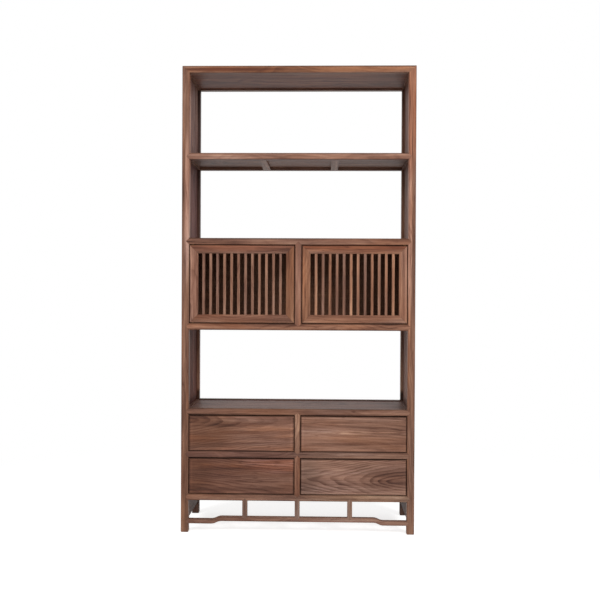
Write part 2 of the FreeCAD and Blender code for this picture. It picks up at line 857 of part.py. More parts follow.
# Upright dividers and the base
door_divider = member("door_divider", case_clear, door_divider_wide, post_side)
place(door_divider, 0, front, floors[3] + case_clear / 2, STANDING)
drawer_dividers = []
for index, word in enumerate(("lower", "upper")):
    divider = member(word + "_drawer_divider", drawer_clear, drawer_divider_wide, post_side)
    place(divider, 0, front, floors[index] + drawer_clear / 2, STANDING)
    drawer_dividers.append(divider)
stretcher = stretcher_blank()
strut_low = stretcher_low + stretcher_high + hump_rise
struts = []
for step in (-1, 0, 1):
    strut = member("strut_%d" % (step + 2), base_clear - strut_low, strut_wide, stretcher_deep)
    place(strut, step * strut_pitch, front, (base_clear + strut_low) / 2, STANDING)
    struts.append(strut)
aprons = {"left": apron("left_apron", -1), "right": apron("right_apron", 1)}

# Doors with their bushes and catches
door_places = [build_door("left_door", -1), build_door("right_door", 1)]
lower_bushes = []
upper_bushes = []
catches = []
for index, spot in enumerate(door_places):
    word = ("left", "right")[index]
    lower_bushes.append(bush(word + "_lower_bush", spot["pivot_x"], spot["pivot_y"], floors[3], False))
    upper_bushes.append(bush(word + "_upper_bush", spot["pivot_x"], spot["pivot_y"], ceilings[3], True))
    catch = new_body(word + "_catch")
    catch_front = front + door_thick + strike_thick + seat_play
    housing = block(catch, word + "_catch_housing",
                    (spot["strike_x"] + (strike_wide - catch_wide) / 2, catch_front, ceilings[3] - catch_high),
                    (catch_wide, inner_front - catch_front, catch_high))
    corners = edges_along(housing, BACKWARD, lambda point: point.z < ceilings[3].number - SMALL)
    round_edges(catch, word + "_catch_rounds", housing, corners, catch_round)
    catches.append(catch)
bush_items = [entry["bush"] for entry in lower_bushes + upper_bushes]
keep(group("pivot_bushes", bush_items))
keep(group("door_catches", catches))

# Drawers with their runners and stops
stops = []
for row, word in enumerate(("lower", "upper")):
    for side, hand in ((-1, "left"), (1, "right")):
        stops += build_drawer("%s_%s_drawer" % (word, hand), side, levels[row][1])
keep(group("drawer_stops", stops))
keep(group("side_runners", [side_runner("%s_%s_runner" % (word, hand), side, levels[row][1])
                            for row, word in enumerate(("lower", "upper"))
                            for side, hand in ((-1, "left"), (1, "right"))]))
keep(group("centre_runners", [centre_runner("%s_centre_runner" % word, levels[row][1])
                              for row, word in enumerate(("lower", "upper"))]))

# Rails: each is cut where panels, battens, dividers, struts and bushes enter it
rear_rails = []
side_rails = []
for index, (name, level) in enumerate(levels):
    shelf = [panels[name]] + battens[name] if name in panels else []
    front_guests = list(shelf)
    rear_guests = list(shelf)
    if name == "bottom":
        front_guests += [drawer_dividers[0]] + struts
        rear_guests += [drawer_backs[0]]
    if name == "drawer_middle":
        front_guests += drawer_dividers
        rear_guests += drawer_backs
    if name == "drawer_top":
        front_guests += [drawer_dividers[1]]
        rear_guests += [drawer_backs[1]]
    if name == "case_bottom":
        front_guests += [door_divider] + [entry["sleeve"] for entry in lower_bushes]
        rear_guests += [case_back]
    if name == "case_top":
        front_guests += [door_divider] + [entry["sleeve"] for entry in upper_bushes]
        rear_guests += [case_back]
    keep(let_in(name + "_front_rail", rails[name]["front"], front_guests))
    rear_rails.append(let_in(name + "_rear_rail", rails[name]["rear"], rear_guests))
    for hand in ("left", "right"):
        boards = [side_boards[hand][index]]
        if index > 0:
            boards.append(side_boards[hand][index - 1])
        else:
            boards.append(aprons[hand])
        shelf_board = [panels[name]] if name in panels else []
        side_rails.append(let_in("%s_%s_rail" % (name, hand), rails[name][hand], boards + shelf_board))
keep(group("rear_rails", rear_rails))
keep(group("side_rails", side_rails))
top_guests = [panels["top"]] + battens["top"]
keep(let_in("top_front_rail", rails["top"]["front"], top_guests))
keep(let_in("top_rear_rail", rails["top"]["rear"], top_guests))
keep(group("top_side_rails", [let_in("top_%s_rail" % hand, rails["top"][hand], [panels["top"], side_boards[hand][-1]])
                              for hand in ("left", "right")]))

# Posts: each is cut where rails, panels, stretcher and aprons enter it
for name, x, y, quarters, end, hand in (("front_left_post", left, front, 0, "front", "left"),
                                        ("front_right_post", -left, front, 1, "front", "right"),
                                        ("rear_right_post", -left, back, 2, "rear", "right"),
                                        ("rear_left_post", left, back, 3, "rear", "left")):
    blank = post(name + "_blank", x, y, quarters)
    guests = [rails[level][end] for level, height in levels]
    guests += [rails[level][hand] for level, height in levels]
    guests += side_boards[hand] + list(panels.values()) + [aprons[hand]]
    if end == "front":
        guests.append(stretcher)
    else:
        guests += [case_back] + drawer_backs
    keep(let_in(name, blank, guests))

# Panels are cut where the ridges of the battens slide in
for name in panels:
    if battens[name]:
        keep(let_in(name + "_panel", panels[name], battens[name]))
    else:
        keep(panels[name])
keep(group("top_battens", battens["top"]))
keep(group("shelf_battens", [item for name in panels if name != "top" for item in battens[name]]))
keep(group("left_side_panels", side_boards["left"]))
keep(group("right_side_panels", side_boards["right"]))
keep(case_back)
keep(group("drawer_back_panels", drawer_backs))
keep(door_divider)
for divider in drawer_dividers:
    keep(divider)
keep(let_in("front_stretcher", stretcher, struts))
keep(group("stretcher_struts", struts))
keep(group("side_aprons", [aprons["left"], aprons["right"]]))

doc.recompute()
faults = []
for item in doc.Objects:
    if "Invalid" in item.State or "Error" in item.State:
        faults.append("%s %s" % (item.Label, item.State))
for item in nodes:
    if item.Shape.isNull() or not item.Shape.isValid():
        faults.append("%s has a bad shape" % item.Label)
    if not item.Shape.Solids:
        faults.append("%s has no solid" % item.Label)
if faults:
    raise RuntimeError("\n".join(faults))

os.makedirs("parts", exist_ok=True)
for item in nodes:
    item.Shape.exportStep("parts/%s.step" % item.Label)
print("%d nodes, %d solids" % (len(nodes), sum(len(item.Shape.Solids) for item in nodes)))
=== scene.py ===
import math
import bpy
from mathutils import Matrix, Vector


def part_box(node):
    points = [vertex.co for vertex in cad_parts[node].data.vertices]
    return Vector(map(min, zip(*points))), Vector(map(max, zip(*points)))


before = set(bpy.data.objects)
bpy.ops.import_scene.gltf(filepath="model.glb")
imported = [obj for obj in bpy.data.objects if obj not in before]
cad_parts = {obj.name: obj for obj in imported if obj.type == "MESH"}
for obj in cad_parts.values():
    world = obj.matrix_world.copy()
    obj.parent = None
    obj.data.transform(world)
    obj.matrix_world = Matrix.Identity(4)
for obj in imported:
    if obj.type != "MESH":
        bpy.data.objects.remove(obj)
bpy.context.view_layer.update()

# Metres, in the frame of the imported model: +X to the right, -Y to the front, +Z up.
AXES = {"X": 0, "Y": 1, "Z": 2}
WHITE = (1.0, 1.0, 1.0, 1.0)


# ---------- small helpers for node trees ----------
class Tree:
    """Builds the nodes of one material or world, left to right in rows."""

    ROW = 12
    STEP = (180, -220)

    def __init__(self, owner):
        self.owner = owner
        owner.use_nodes = True
        self.tree = owner.node_tree
        self.tree.nodes.clear()
        self.count = 0

    def node(self, kind, **settings):
        made = self.tree.nodes.new(kind)
        row, column = divmod(self.count, self.ROW)
        made.location = (self.STEP[0] * column, self.STEP[1] * row)
        self.count += 1
        for key, value in settings.items():
            setattr(made, key, value)
        return made

    def link(self, source, target):
        self.tree.links.new(source, target)

    def feed(self, socket, value):
        """Links the socket to another one, or writes a constant on it. None leaves it alone."""
        if isinstance(value, bpy.types.NodeSocket):
            self.link(value, socket)
        elif value is not None:
            socket.default_value = value

    def math(self, operation, first, second=None, third=None, clamp=False):
        made = self.node("ShaderNodeMath", operation=operation, use_clamp=clamp)
        for socket, value in zip(made.inputs, (first, second, third)):
            self.feed(socket, value)
        return made.outputs[0]

    def plus(self, first, second):
        return self.math("ADD", first, second)

    def minus(self, first, second, clamp=False):
        return self.math("SUBTRACT", first, second, clamp=clamp)

    def times(self, first, second):
        return self.math("MULTIPLY", first, second)

    def times_plus(self, first, second, third, clamp=False):
        return self.math("MULTIPLY_ADD", first, second, third, clamp)

    def largest(self, values):
        result = values[0]
        for value in values[1:]:
            result = self.math("MAXIMUM", result, value)
        return result

    def vector(self, operation, first, second=None):
        made = self.node("ShaderNodeVectorMath", operation=operation)
        self.feed(made.inputs[0], first)
        self.feed(made.inputs[1], second)
        return made.outputs["Value" if operation in ("LENGTH", "DOT_PRODUCT") else "Vector"]

    def place(self):
        """The point in the object's own metres."""
        return self.node("ShaderNodeTexCoord").outputs["Object"]

    def combine(self, x, y, z):
        made = self.node("ShaderNodeCombineXYZ")
        for socket, value in zip(made.inputs, (x, y, z)):
            self.feed(socket, value)
        return made.outputs[0]

    def parts(self, vector):
        """The three parts of a vector, by axis."""
        split = self.node("ShaderNodeSeparateXYZ")
        self.link(vector, split.inputs[0])
        return {axis: split.outputs[index] for axis, index in AXES.items()}

    def random(self, number):
        """A random value from 0 to 1 that is always the same for the same number."""
        made = self.node("ShaderNodeTexWhiteNoise", noise_dimensions="1D")
        self.link(number, made.inputs["W"])
        return made.outputs["Value"]

    def noise(self, vector, scale, detail, roughness=0.55, color=False):
        made = self.node("ShaderNodeTexNoise", noise_dimensions="3D")
        self.feed(made.inputs["Vector"], vector)
        for name, number in (("Scale", scale), ("Detail", detail), ("Roughness", roughness),
                             ("Distortion", 0.0)):
            made.inputs[name].default_value = number
        return made.outputs["Color" if color else "Fac"]

    def remap(self, value, low, high, to_low=0.0, to_high=1.0, kind="SMOOTHSTEP"):
        made = self.node("ShaderNodeMapRange", interpolation_type=kind)
        self.feed(made.inputs["Value"], value)
        for name, number in (("From Min", low), ("From Max", high), ("To Min", to_low),
                             ("To Max", to_high)):
            made.inputs[name].default_value = number
        return made.outputs["Result"]

    def ramp(self, value, stops):
        made = self.node("ShaderNodeValToRGB")
        self.feed(made.inputs[0], value)
        elements = made.color_ramp.elements
        while len(elements) < len(stops):
            elements.new(0.5)
        for element, (place, color) in zip(elements, stops):
            element.position = place
            element.color = (*color, 1.0)
        return made.outputs["Color"]

    def mix(self, factor, first, second, blend="MIX"):
        made = self.node("ShaderNodeMix", data_type="RGBA", blend_type=blend)
        self.feed(made.inputs["Factor"], factor)
        for name, value in (("A", first), ("B", second)):
            socket = [s for s in made.inputs if s.name == name and s.type == "RGBA"][0]
            self.feed(socket, (*value, 1.0) if isinstance(value, tuple) else value)
        return [s for s in made.outputs if s.type == "RGBA"][0]

    def tinted(self, factor, color, tint):
        """The colour, and as far as the factor goes the colour times the tint."""
        return self.mix(factor, color, self.mix(1.0, color, tint, "MULTIPLY"))

    def bump(self, height, strength, distance, below=None):
        made = self.node("ShaderNodeBump")
        made.inputs["Strength"].default_value = strength
        made.inputs["Distance"].default_value = distance
        self.feed(made.inputs["Height"], height)
        self.feed(made.inputs["Normal"], below)
        return made.outputs["Normal"]

    def emission(self, strength):
        made = self.node("ShaderNodeEmission")
        made.inputs["Color"].default_value = WHITE
        self.feed(made.inputs["Strength"], strength)
        return made.outputs[0]

    def seen(self):
        """1 for what the camera sees, straight, mirrored or through glass, and 0 for light."""
        path = self.node("ShaderNodeLightPath")
        return self.largest([path.outputs["Is %s Ray" % kind]
                             for kind in ("Camera", "Glossy", "Transmission")])

    def coat(self, color, rough, normal, constants):
        """Ends a material in one principled shader with these inputs and constants."""
        shader = self.node("ShaderNodeBsdfPrincipled")
        for name, source in (("Base Color", color), ("Roughness", rough), ("Normal", normal)):
            self.link(source, shader.inputs[name])
        for name, number in constants.items():
            shader.inputs[name].default_value = number
        return self.finish(shader.outputs["BSDF"])

    def finish(self, shader, kind="ShaderNodeOutputMaterial"):
        self.link(shader, self.node(kind).inputs["Surface"])
        return self.owner


def material_tree(name):
    return Tree(bpy.data.materials.new(name))


def linear(red, green, blue):
    """A colour given as it looks on a screen, 0 to 255, as linear light."""
    shares = [value / 255 for value in (red, green, blue)]
    return tuple(share / 12.92 if share <= 0.04045 else ((share + 0.055) / 1.055) ** 2.4
                 for share in shares)


# ---------- wood ----------
# The stain runs from dark pores to light early wood.
STAIN = [
    (0.00, linear(56, 30, 21)),
    (0.26, linear(92, 60, 46)),
    (0.52, linear(124, 88, 71)),
    (0.76, linear(150, 112, 92)),
    (1.00, linear(184, 146, 122)),
]
INNER_STAIN = [
    (0.00, linear(96, 68, 51)),
    (0.28, linear(128, 97, 75)),
    (0.54, linear(154, 121, 96)),
    (0.78, linear(173, 141, 114)),
    (1.00, linear(193, 163, 136)),
]
WARM = (1.12, 0.94, 0.74)
COOL = (0.96, 1.02, 1.10)
# Tints of the painted shade and dark seams beside edges, and of the painted highlight line next to
# them
EDGE_SHADE_AND_SEAM = (0.48, 0.42, 0.38)
EDGE_HIGHLIGHT = (1.17, 1.17, 1.19)
WOOD_IOR = 1.45

# Patterns drawn out along the grain: length and width in metres, seed, detail, roughness
STRAY = (0.45, 0.30, 0.0, 2.0, 0.50)
RIPPLE = (0.12, 0.030, 3.0, 2.0, 0.50)
STREAKS = (0.24, 0.012, 7.0, 4.0, 0.62)
BANDS = (0.60, 0.038, 11.0, 2.0, 0.50)
VEINS = (0.34, 0.020, 17.0, 2.0, 0.50)
FIBRES = (0.060, 0.0018, 23.0, 3.0, 0.60)
PORES = (0.011, 0.0006, 29.0, 1.0, 0.50)
CLOUDS = (0.40, 0.10, 31.0, 3.0, 0.55)
HUES = (0.50, 0.05, 37.0, 3.0, 0.60)

# Steps between the cuts of wood of two seeds, and of two pieces in one node
SEED_ALONG, SEED_PIECE, SEED_RING = 3.17, 1.7, 0.37
PIECE_ALONG, PIECE_ACROSS = 9.0, (2.3, 3.7)

# Rings that a ripple and an uneven growth shift, and the rings between two slow years
RIPPLE_RINGS, UNEVEN_RINGS, UNEVEN_EVERY = 1.3, 3.0, 5.0

# Parts of a ring in which its late wood darkens and ends, and how light the lightest ring's is
LATE_RISE, LATE_END = (0.30, 0.90), (1.0, 0.94)
LATE_LEAST = 0.25
# Late wood is weaker in cloudy places: range of the clouds, and share of the late wood
LATE_CLOUDS = (0.62, 0.38, 0.45, 1.15)

# Ranges of a pattern that draw veins, the bands that carry them, pores, and the two hues
VEIN_RANGE, VEIN_BANDS, PORE_RANGE = (0.0, 0.024, 1.0, 0.0), (0.42, 0.60), (0.58, 0.70)
WARM_RANGE, COOL_RANGE = (0.48, 0.66), (0.50, 0.34)

# The value on the stain of plain wood, and how much each layer moves it
PLAIN, CONTRAST_MIDDLE = 0.60, 0.52
LATE_SHARE, RING_SHARE, VEIN_SHARE, PORE_SHARE = -0.34, 0.07, -0.24, -0.16
STREAK_SHARE, BAND_SHARE, FIBRE_SHARE, CLOUD_SHARE = 1.10, 0.80, 0.34, 0.65
PIECE_SHARE, PIECE_HUE_SHARE = 0.22, 0.35

# Fibres and pores roughen the gloss, and stand in the surface: strength and depth in metres
FIBRE_ROUGH, PORE_ROUGH = 0.16, 0.18
FIBRE_BUMP, LATE_BUMP = (0.35, 0.00025), (0.10, 0.0004)

# Beside an edge, in widths of its line of painted shade: where the shade starts to fade, and where
# the line of painted highlight begins, is full, starts to fade and ends
DARK_FULL = 0.2
HIGHLIGHT_BEGIN, HIGHLIGHT_END = (0.6, 1.3), (2.6, 1.5)

# A patch, mostly painted light or painted shade, is full inside this share of its oval
PATCH_FULL = 0.45


def turned_grain(t, along, across, index, level, middle, half):
    """Swaps the grain with one of the axes across it, past a level and beside a middle."""
    aside = across[index]
    within = t.math("LESS_THAN", t.math("ABSOLUTE", t.minus(aside, middle)), half)
    past = t.math("GREATER_THAN", along, level)
    swing = t.times(t.times(past, within), t.minus(aside, along))
    across[index] = t.minus(aside, swing)
    return t.plus(along, swing), across


def year_rings(t, pattern, along, across, seed, pith, ring, taper, wander, clouds):
    """Late wood, and a random value for each ring. The heart wanders slowly along the board."""
    stray = t.parts(pattern(STRAY, color=True))
    bent = [t.times_plus(stray[axis], wander, t.plus(value, -heart - wander / 2))
            for axis, value, heart in zip("XY", across, pith)]
    radius = t.vector("LENGTH", t.combine(*bent, 0.0))
    turns = t.times_plus(pattern(RIPPLE), RIPPLE_RINGS, t.math("DIVIDE", radius, ring))
    uneven = t.noise(t.combine(t.math("DIVIDE", radius, ring * UNEVEN_EVERY), seed, 0.0), 1.0, 1.0)
    turns = t.times_plus(uneven, UNEVEN_RINGS, turns)
    if taper:
        turns = t.times_plus(along, taper, turns)
    phase = t.math("FRACT", turns)
    each = t.random(t.plus(t.math("FLOOR", turns), seed * SEED_RING))
    late = t.times(t.remap(phase, *LATE_RISE), t.remap(phase, *LATE_END))
    late = t.times(late, t.times_plus(each, 1.0 - LATE_LEAST, LATE_LEAST))
    return t.times(late, t.remap(clouds, *LATE_CLOUDS)), each


def edge_shade_seams_highlight(t, color, place, parts, edges, streaks, clouds):
    """Painted shade and a painted highlight line by straight edges, and dark seams by slanted
    ones.
    """
    dark, highlight_line = [], []
    for axis, level, width in edges:
        straight = isinstance(axis, str)
        reach = parts[axis] if straight else t.vector("DOT_PRODUCT", place, axis)
        away = t.math("ABSOLUTE", t.minus(reach, level))
        dark.append(t.remap(away, width * DARK_FULL, width, 1.0, 0.0))
        if straight:
            highlight_line.append(t.times(t.remap(away, *[width * share for share in HIGHLIGHT_BEGIN]),
                                t.remap(away, *[width * share for share in HIGHLIGHT_END])))
    dark = t.times(t.largest(dark), t.remap(streaks, 0.2, 0.7, 1.0, 0.7))
    highlight_reach = t.minus(t.remap(clouds, 0.35, 0.60, 0.3, 1.0), dark, clamp=True)
    color = t.tinted(t.times(t.largest(highlight_line), highlight_reach), color, EDGE_HIGHLIGHT)
    return t.tinted(dark, color, EDGE_SHADE_AND_SEAM)


def wood(name, grain, seed, tone=1.0, warm=0.5, figure=1.0, contrast=1.0, pith=(0.0, 0.12),
         ring=0.0085, taper=0.0, wander=0.10, stain=STAIN, gloss=0.50, sheen=0.28,
         pieces=None, turned=None, edges=(), patches=()):
    """Stained open-pored wood whose grain runs along one axis.

    tone is a factor on the colour, and warm how far its redder places go.
    figure is the strength of the year rings, and contrast that of the whole figure.
    pith is where the heart of the tree lies across the grain, ring the width of a year ring, and
    taper the rings per metre that the cut crosses along the grain, which draws arches. wander is
    how far the heart strays.
    gloss is the roughness, and sheen the level of the mirrored light.
    pieces is an axis, start and pitch that give each repeated stick its own cut of wood.
    turned is an axis, level, middle and half: past the level along the grain, and within half of
    the middle, there is a board whose grain runs along that axis instead.
    edges are planes (axis or normal, place, width) beside which the colour is darkened: painted
    shade along the straight ones, in the gaps and at rounded edges, and dark seam lines at the
    slanted ones. At least one of them lies across an axis, and those have a painted highlight
    line next to the shade.
    patches are soft ovals (centre, half size, tint) where the board is lighter or darker: mostly
    painted light and painted shade, with some of the board's own tone."""
    t = material_tree(name)
    place = t.place()
    parts = t.parts(place)
    others = [axis for axis in "XYZ" if axis != grain]
    along, across = parts[grain], [parts[axis] for axis in others]
    if turned:
        along, across = turned_grain(t, along, across, others.index(turned[0]), *turned[1:])
    own = None
    if pieces:
        axis, start, pitch = pieces
        cell = t.math("FLOOR", t.math("DIVIDE", t.minus(parts[axis], start), pitch))
        own = t.random(t.plus(cell, seed * SEED_PIECE))
        along = t.times_plus(own, PIECE_ALONG, along)
        across = [t.times_plus(own, jump, value) for value, jump in zip(across, PIECE_ACROSS)]
    along = t.plus(along, seed * SEED_ALONG)

    def pattern(kind, color=False):
        length, width, own_seed, detail, roughness = kind
        stretched = t.combine(t.times_plus(along, 1.0 / length, own_seed),
                              *[t.times(value, 1.0 / width) for value in across])
        return t.noise(stretched, 1.0, detail, roughness, color)

    clouds = pattern(CLOUDS)
    late, each = year_rings(t, pattern, along, across, seed, pith, ring, taper, wander, clouds)

    # Streaks, dark veins, fibres and open pores
    streaks, bands, fibres = pattern(STREAKS), pattern(BANDS), pattern(FIBRES)
    vein = t.math("ABSOLUTE", t.minus(pattern(VEINS), 0.5))
    veins = t.times(t.remap(vein, *VEIN_RANGE), t.remap(bands, *VEIN_BANDS))
    pores = t.remap(pattern(PORES), *PORE_RANGE)

    value = t.times_plus(late, LATE_SHARE * figure, PLAIN)
    for layer, share in ((each, RING_SHARE * figure), (streaks, STREAK_SHARE),
                         (bands, BAND_SHARE), (fibres, FIBRE_SHARE), (clouds, CLOUD_SHARE)):
        value = t.times_plus(t.minus(layer, 0.5), share, value)
    value = t.times_plus(veins, VEIN_SHARE, value)
    value = t.times_plus(pores, PORE_SHARE, value)
    if own:
        value = t.times_plus(t.minus(own, 0.5), PIECE_SHARE, value)
    if contrast != 1.0:
        value = t.times_plus(t.minus(value, CONTRAST_MIDDLE), contrast, CONTRAST_MIDDLE)
    color = t.ramp(value, stain)

    # Redder and greyer places of the stain
    hue = pattern(HUES)
    if own:
        hue = t.times_plus(t.minus(own, 0.5), PIECE_HUE_SHARE, hue)
    color = t.tinted(t.times(t.remap(hue, *WARM_RANGE), warm), color, WARM)
    color = t.tinted(t.remap(hue, *COOL_RANGE), color, COOL)
    # Patches of painted light and painted shade, with some of the board's own tone
    for centre, size, tint in patches:
        away = t.vector("DIVIDE", t.vector("SUBTRACT", place, centre), size)
        color = t.tinted(t.remap(t.vector("LENGTH", away), 1.0, PATCH_FULL), color, tint)
    # Painted shade and a painted highlight line along the edges, and dark seams at the joints
    if edges:
        color = edge_shade_seams_highlight(t, color, place, parts, edges, streaks, clouds)
    color = t.mix(1.0, color, tone if isinstance(tone, tuple) else (tone,) * 3, "MULTIPLY")

    rough = t.times_plus(fibres, FIBRE_ROUGH, gloss - FIBRE_ROUGH / 2)
    rough = t.times_plus(pores, PORE_ROUGH, rough, clamp=True)
    height = t.times_plus(fibres, 0.5, t.times(pores, -1.0))
    normal = t.bump(late, *LATE_BUMP, t.bump(height, *FIBRE_BUMP))
    return t.coat(color, rough, normal, {"IOR": WOOD_IOR, "Specular IOR Level": sheen})


# ---------- metal and plastic ----------
# Marks per metre: along the brass pins and the steel, the patina, and the plastic's grain
TURNING, BRUSHING, BRUSH_LENGTH = 4200.0, 3200.0, 40.0
PATINA, MOULD_GRAIN, MOULD_CLOUD = 260.0, 1800.0, 60.0
METAL = {"Metallic": 1.0}
MARK_DEPTH = 0.0001


def brass():
    """Turned brass with a patina. The turning marks lie across the upright pins."""
    t = material_tree("turned_brass")
    place = t.place()
    turning = t.noise(t.combine(0.0, 0.0, t.times(t.parts(place)["Z"], TURNING)), 1.0, 2.0)
    color = t.ramp(t.noise(place, PATINA, 4.0), [
        (0.25, linear(44, 32, 18)), (0.55, linear(70, 52, 30)), (0.85, linear(100, 76, 46))])
    rough = t.times_plus(turning, 0.22, 0.22)
    return t.coat(color, rough, t.bump(turning, 0.2, MARK_DEPTH), METAL)


def steel():
    """Steel brushed from side to side."""
    t = material_tree("brushed_steel")
    parts = t.parts(t.place())
    marks = t.combine(t.times(parts["X"], BRUSH_LENGTH), 0.0, t.times(parts["Z"], BRUSHING))
    brushed = t.noise(marks, 1.0, 3.0)
    color = t.ramp(brushed, [(0.3, linear(150, 150, 152)), (0.7, linear(196, 196, 198))])
    rough = t.times_plus(brushed, 0.25, 0.25)
    return t.coat(color, rough, t.bump(brushed, 0.15, MARK_DEPTH), METAL)


def plastic():
    """Brown plastic with a fine moulded grain."""
    t = material_tree("moulded_plastic")
    place = t.place()
    grain = t.noise(place, MOULD_GRAIN, 3.0)
    color = t.ramp(t.noise(place, MOULD_CLOUD, 2.0), [
        (0.3, linear(62, 44, 34)), (0.7, linear(76, 55, 44))])
    rough = t.times_plus(grain, 0.2, 0.42)
    return t.coat(color, rough, t.bump(grain, 0.25, MARK_DEPTH), {})


def dress(material, *names):
    """Puts the material in every slot of the named nodes."""
    for name in names:
        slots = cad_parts[name].data.materials
        if len(slots):
            for index in range(len(slots)):
                slots[index] = material
        else:
            slots.append(material)


# ---------- edges and patches ----------
# Widths of the painted shade beside an edge, and of a dark seam at a joint
EDGE = 0.0055
SEAM = 0.0014
POST_EDGE = 0.0030
FRAME_EDGE = 0.0045
FRONT_EDGE = 0.005
# Painted shadow in the gaps at the ends of the drawer fronts, wider on the left drawers
LEFT_FRONT_END, RIGHT_FRONT_END = 0.0072, 0.0056

# Where the patches of painted light and painted shade lie
FRONT_FACE = -0.17
INNER_FACE = 0.478
REAR_POST = 0.48


def box_edges(name, axes, width):
    """The planes of a node's box across the given axes."""
    low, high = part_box(name)
    return [(axis, corner[AXES[axis]], width) for axis in axes for corner in (low, high)]


def slanted(spot, across):
    """A seam at 45 degrees through a spot of the front, across (x, z) signs."""
    normal = Vector((across[0], 0.0, across[1])).normalized()
    return (tuple(normal), normal.dot(Vector(spot)), SEAM)


def tip_seams(axis, ends, middle, half):
    """The seams of the pointed shoulders at both ends of a member."""
    seams = []
    for side, end in zip((-1, 1), ends):
        tip = end + side * half
        for tilt in (-1, 1):
            if axis == "X":
                seams.append(slanted((tip, 0.0, middle), (side, tilt)))
            else:
                seams.append(slanted((middle, 0.0, tip), (tilt, side)))
    return seams


def on_front(x, z, half_x, half_z, tint, deep=0.03):
    """A patch on the front faces, which lie within deep of one plane."""
    return (x, FRONT_FACE, z), (half_x, deep, half_z), tint


def on_side(x, z, half_x, half_y, half_z, tint):
    """A patch on faces at one of the sides, centred from front to back."""
    return (x, 0.0, z), (half_x, half_y, half_z), tint


def on_rear_post(side, y, z, half_y, half_z, tint):
    return (side * REAR_POST, y, z), (0.10, half_y, half_z), tint


# ---------- materials of the cabinet ----------
# Each group of nodes has its own run of seeds, one for each node in the order of its list.
# Posts: tone, warm, patches of painted light and painted shade: lit strips on the front posts,
# shade on the rear posts and feet
POSTS = {
    "front_left_post": ((0.77, 0.71, 0.66), 0.5, [
        on_front(-0.478, 1.40, 0.014, 0.40, (2.35, 2.75, 3.30)),
        ((-0.468, -0.157, 1.62), (0.004, 0.017, 0.50), (2.50, 2.50, 2.65)),
        on_front(-0.497, 1.05, 0.009, 1.10, (0.92, 0.90, 0.90)),
        on_front(-0.484, 0.02, 0.050, 0.16, (1.42, 1.52, 1.48), 0.04)]),
    "front_right_post": ((0.80, 0.76, 0.73), 0.7, [
        ((0.468, -0.157, 1.62), (0.004, 0.017, 0.50), (2.20, 2.20, 2.30)),
        on_front(0.475, 1.30, 0.012, 0.56, (2.50, 2.75, 2.95)),
        on_front(0.492, 1.25, 0.010, 0.55, (0.84, 0.80, 0.78)),
        on_front(0.484, 0.76, 0.040, 0.32, (0.95, 0.86, 0.78)),
        on_front(0.484, 1.85, 0.040, 0.40, (1.55, 1.32, 1.14))]),
    "rear_left_post": (0.78, 0.4, [
        on_rear_post(-1, 0.16, 1.80, 0.10, 1.30, (0.62, 0.62, 0.66)),
        on_rear_post(-1, 0.138, 1.85, 0.03, 0.45, (0.52, 0.52, 0.60)),
        on_rear_post(-1, 0.15, 0.70, 0.05, 0.34, (1.45, 1.38, 1.30)),
        on_rear_post(-1, 0.15, 0.545, 0.05, 0.045, (0.25, 0.20, 0.16)),
        on_rear_post(-1, 0.138, 0.00, 0.03, 0.22, (0.50, 0.46, 0.46))]),
    "rear_right_post": (0.80, 0.4, [
        on_rear_post(1, 0.15, 0.70, 0.05, 0.34, (2.00, 2.50, 2.80)),
        on_rear_post(1, 0.15, 0.545, 0.05, 0.045, (0.14, 0.10, 0.08)),
        on_rear_post(1, 0.138, 0.00, 0.03, 0.22, (0.50, 0.50, 0.52))]),
}
for index, (name, (tone, warm, patches)) in enumerate(POSTS.items()):
    low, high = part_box(name)
    middle = (low + high) / 2
    outside = low.x if middle.x < 0 else high.x
    # Painted shade along each post's outer edge, with a painted highlight line beside it
    dress(wood("wood_" + name, "Z", 11 + index, tone=tone, warm=warm, figure=0.5, ring=0.008,
               pith=(middle.x * 0.88, middle.y * 0.7), edges=[("X", outside, POST_EDGE)],
               patches=patches), name)

# Rails: tone, warm, width of the painted shade at the lower edge, patches of painted light and
# painted shade
RAILS = {
    "top_front_rail": ((0.98, 0.95, 0.88), 1.0, None, [
        on_front(0.0, 1.984, 0.75, 0.017, (1.02, 0.86, 0.66)),
        on_front(-0.30, 1.984, 0.34, 0.010, (0.55, 0.42, 0.38)),
        on_front(0.33, 1.985, 0.34, 0.016, (1.38, 1.42, 1.40), 0.05)]),
    "upper_shelf_front_rail": ((0.93, 0.87, 0.85), 0.5, 0.0044, []),
    "case_top_front_rail": ((0.84, 0.77, 0.74), 0.6, 0.0028, [
        on_front(-0.25, 1.263, 0.36, 0.010, (0.58, 0.54, 0.52), 0.05)]),
    "case_bottom_front_rail": ((1.03, 0.92, 0.82), 0.7, 0.0090, []),
    "drawer_top_front_rail": ((0.76, 0.72, 0.70), 0.5, 0.0070, []),
    "drawer_middle_front_rail": ((0.62, 0.57, 0.62), 0.3, 0.0044, [
        on_front(0.30, 0.33, 0.40, 0.1, (1.38, 1.54, 1.44), 0.05)]),
    "bottom_front_rail": (1.02, 0.4, 0.0044, [
        on_front(0.34, 0.15, 0.40, 0.1, (1.32, 1.54, 1.54), 0.05)]),
    "front_stretcher": ((0.96, 0.98, 1.04), 0.1, None, []),
    "top_rear_rail": (0.90, 0.5, None, []),
    "rear_rails": (0.92, 0.4, None, [
        ((0.0, 0.155, 0.532), (1.20, 0.05, 0.02), (0.42, 0.34, 0.30))]),
}
CLEAR_HALF = 0.468
for index, (name, (tone, warm, lower_edge, patches)) in enumerate(RAILS.items()):
    low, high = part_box(name)
    # Painted shade along the top edge and the lower edge, and dark seams at the pointed shoulders
    edges = []
    if name == "top_front_rail" or lower_edge:
        edges.append(("Z", high.z, EDGE))
    if lower_edge:
        edges.append(("Z", low.z, lower_edge))
        edges += tip_seams("X", (-CLEAR_HALF, CLEAR_HALF), (low.z + high.z) / 2,
                           (high.z - low.z) / 2)
    dress(wood("wood_" + name, "X", 21 + index, tone=tone, warm=warm, figure=0.6, ring=0.008,
               pith=(low.y + 0.11, low.z - 0.03), edges=edges, patches=patches), name)

